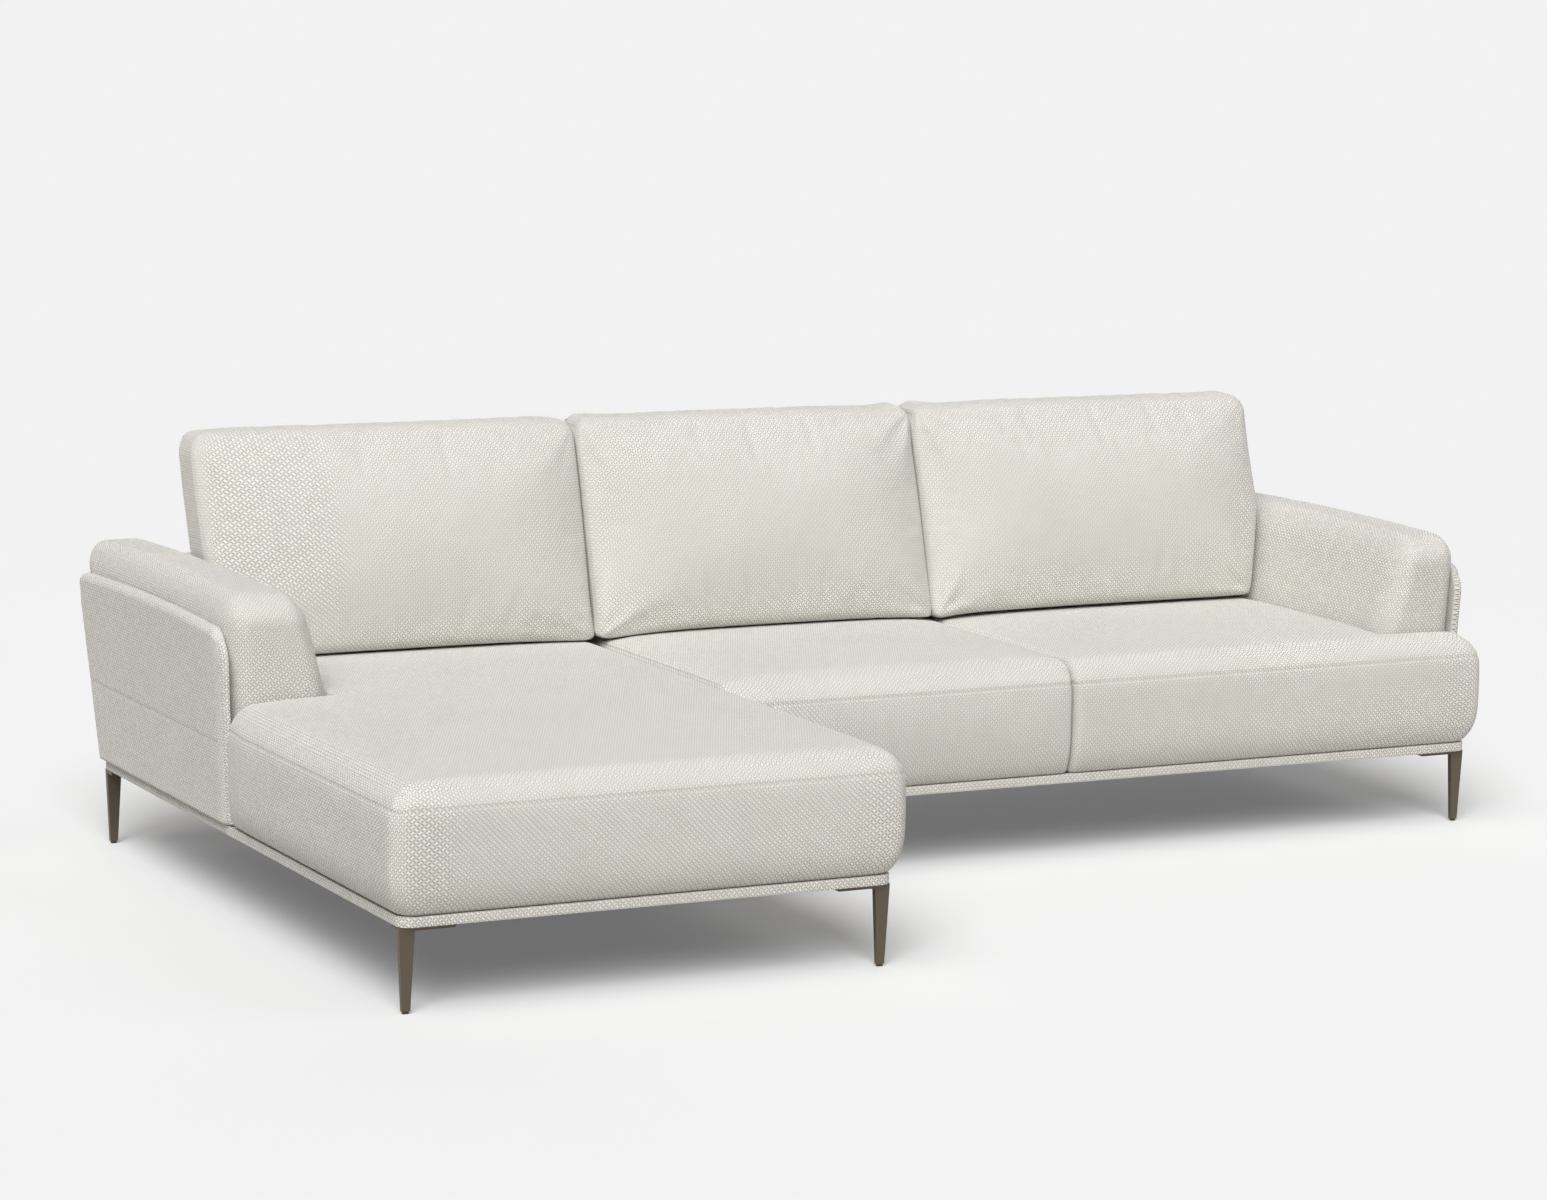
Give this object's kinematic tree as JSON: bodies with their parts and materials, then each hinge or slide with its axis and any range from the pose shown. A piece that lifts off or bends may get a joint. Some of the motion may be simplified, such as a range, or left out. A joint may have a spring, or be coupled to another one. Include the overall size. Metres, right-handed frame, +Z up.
{
  "type": "sectional sofa",
  "caption": "L-shaped sectional sofa: deep chaise and shorter seats on a thin upholstered base with slender tapered legs, low wedge arms and loose leaning back cushions.",
  "frame": {"origin": "centre of the bounding box in plan, on the floor", "axes": "+Z up, -Y the way the sofa faces, +X from the chaise towards the far arm"},
  "size_m": [2.897, 1.7682, 0.8851],
  "materials": {
    "fabric": "chunky woven off-white upholstery cloth with taupe flecks",
    "bronze": "satin bronze coating on steel",
    "glide": "matte dark plastic",
    "timber": "sawn softwood, unfinished",
    "foam": "soft seat foam with a fibre wrap",
    "fill": "loose fibre fill in an inner case",
    "webbing": "elastic woven straps",
    "steel": "zinc plated flat steel"
  },
  "bodies": {
    "chaise_unit": {"chaise_base_band": "fabric", "chaise_front_rail": "timber", "chaise_rear_rail": "timber", "chaise_outer_rail": "timber", "chaise_inner_rail": "timber", "chaise_cross_rail": "timber", "chaise_webbing": "webbing", "chaise_arm_board": "timber", "chaise_arm_pad": "fabric", "chaise_arm_panel": "fabric", "chaise_back_board": "timber", "chaise_back_pad": "fabric", "chaise_back_panel": "fabric", "chaise_seat_cover": "fabric", "chaise_seat_foam": "foam", "chaise_leg_front_outer": "bronze", "chaise_leg_rear_outer": "bronze", "chaise_leg_front_inner": "bronze", "chaise_leg_rear_inner": "bronze", "chaise_glide_front_outer": "glide", "chaise_glide_rear_outer": "glide", "chaise_glide_front_inner": "glide", "chaise_glide_rear_inner": "glide", "chaise_link_plate_front": "steel", "chaise_link_plate_rear": "steel"},
    "sofa_unit": {"sofa_base_band": "fabric", "sofa_front_rail": "timber", "sofa_rear_rail": "timber", "sofa_outer_rail": "timber", "sofa_inner_rail": "timber", "sofa_cross_rail": "timber", "sofa_webbing": "webbing", "sofa_arm_board": "timber", "sofa_arm_pad": "fabric", "sofa_arm_panel": "fabric", "sofa_back_board": "timber", "sofa_back_pad": "fabric", "sofa_back_panel": "fabric", "middle_seat_cover": "fabric", "middle_seat_foam": "foam", "right_seat_cover": "fabric", "right_seat_foam": "foam", "sofa_leg_front_outer": "bronze", "sofa_leg_rear_outer": "bronze", "sofa_leg_front_inner": "bronze", "sofa_leg_rear_inner": "bronze", "sofa_glide_front_outer": "glide", "sofa_glide_rear_outer": "glide", "sofa_glide_front_inner": "glide", "sofa_glide_rear_inner": "glide"},
    "back_cushion_left": {"back_cushion_left_cover": "fabric", "back_cushion_left_fill": "fill"},
    "back_cushion_centre": {"back_cushion_centre_cover": "fabric", "back_cushion_centre_fill": "fill"},
    "back_cushion_right": {"back_cushion_right_cover": "fabric", "back_cushion_right_fill": "fill"}
  },
  "joints": [
    {"name": "sofa_unit_lift", "type": "slide", "parent": "chaise_unit", "child": "sofa_unit", "axis": [0, 0, 1], "range_m": [0, 0.9]},
    {"name": "left_cushion_lift", "type": "slide", "parent": "chaise_unit", "child": "back_cushion_left", "axis": [0, 0, 1], "range_m": [0, 0.5]},
    {"name": "centre_cushion_lift", "type": "slide", "parent": "sofa_unit", "child": "back_cushion_centre", "axis": [0, 0, 1], "range_m": [0, 0.5]},
    {"name": "right_cushion_lift", "type": "slide", "parent": "sofa_unit", "child": "back_cushion_right", "axis": [0, 0, 1], "range_m": [0, 0.5]}
  ]
}
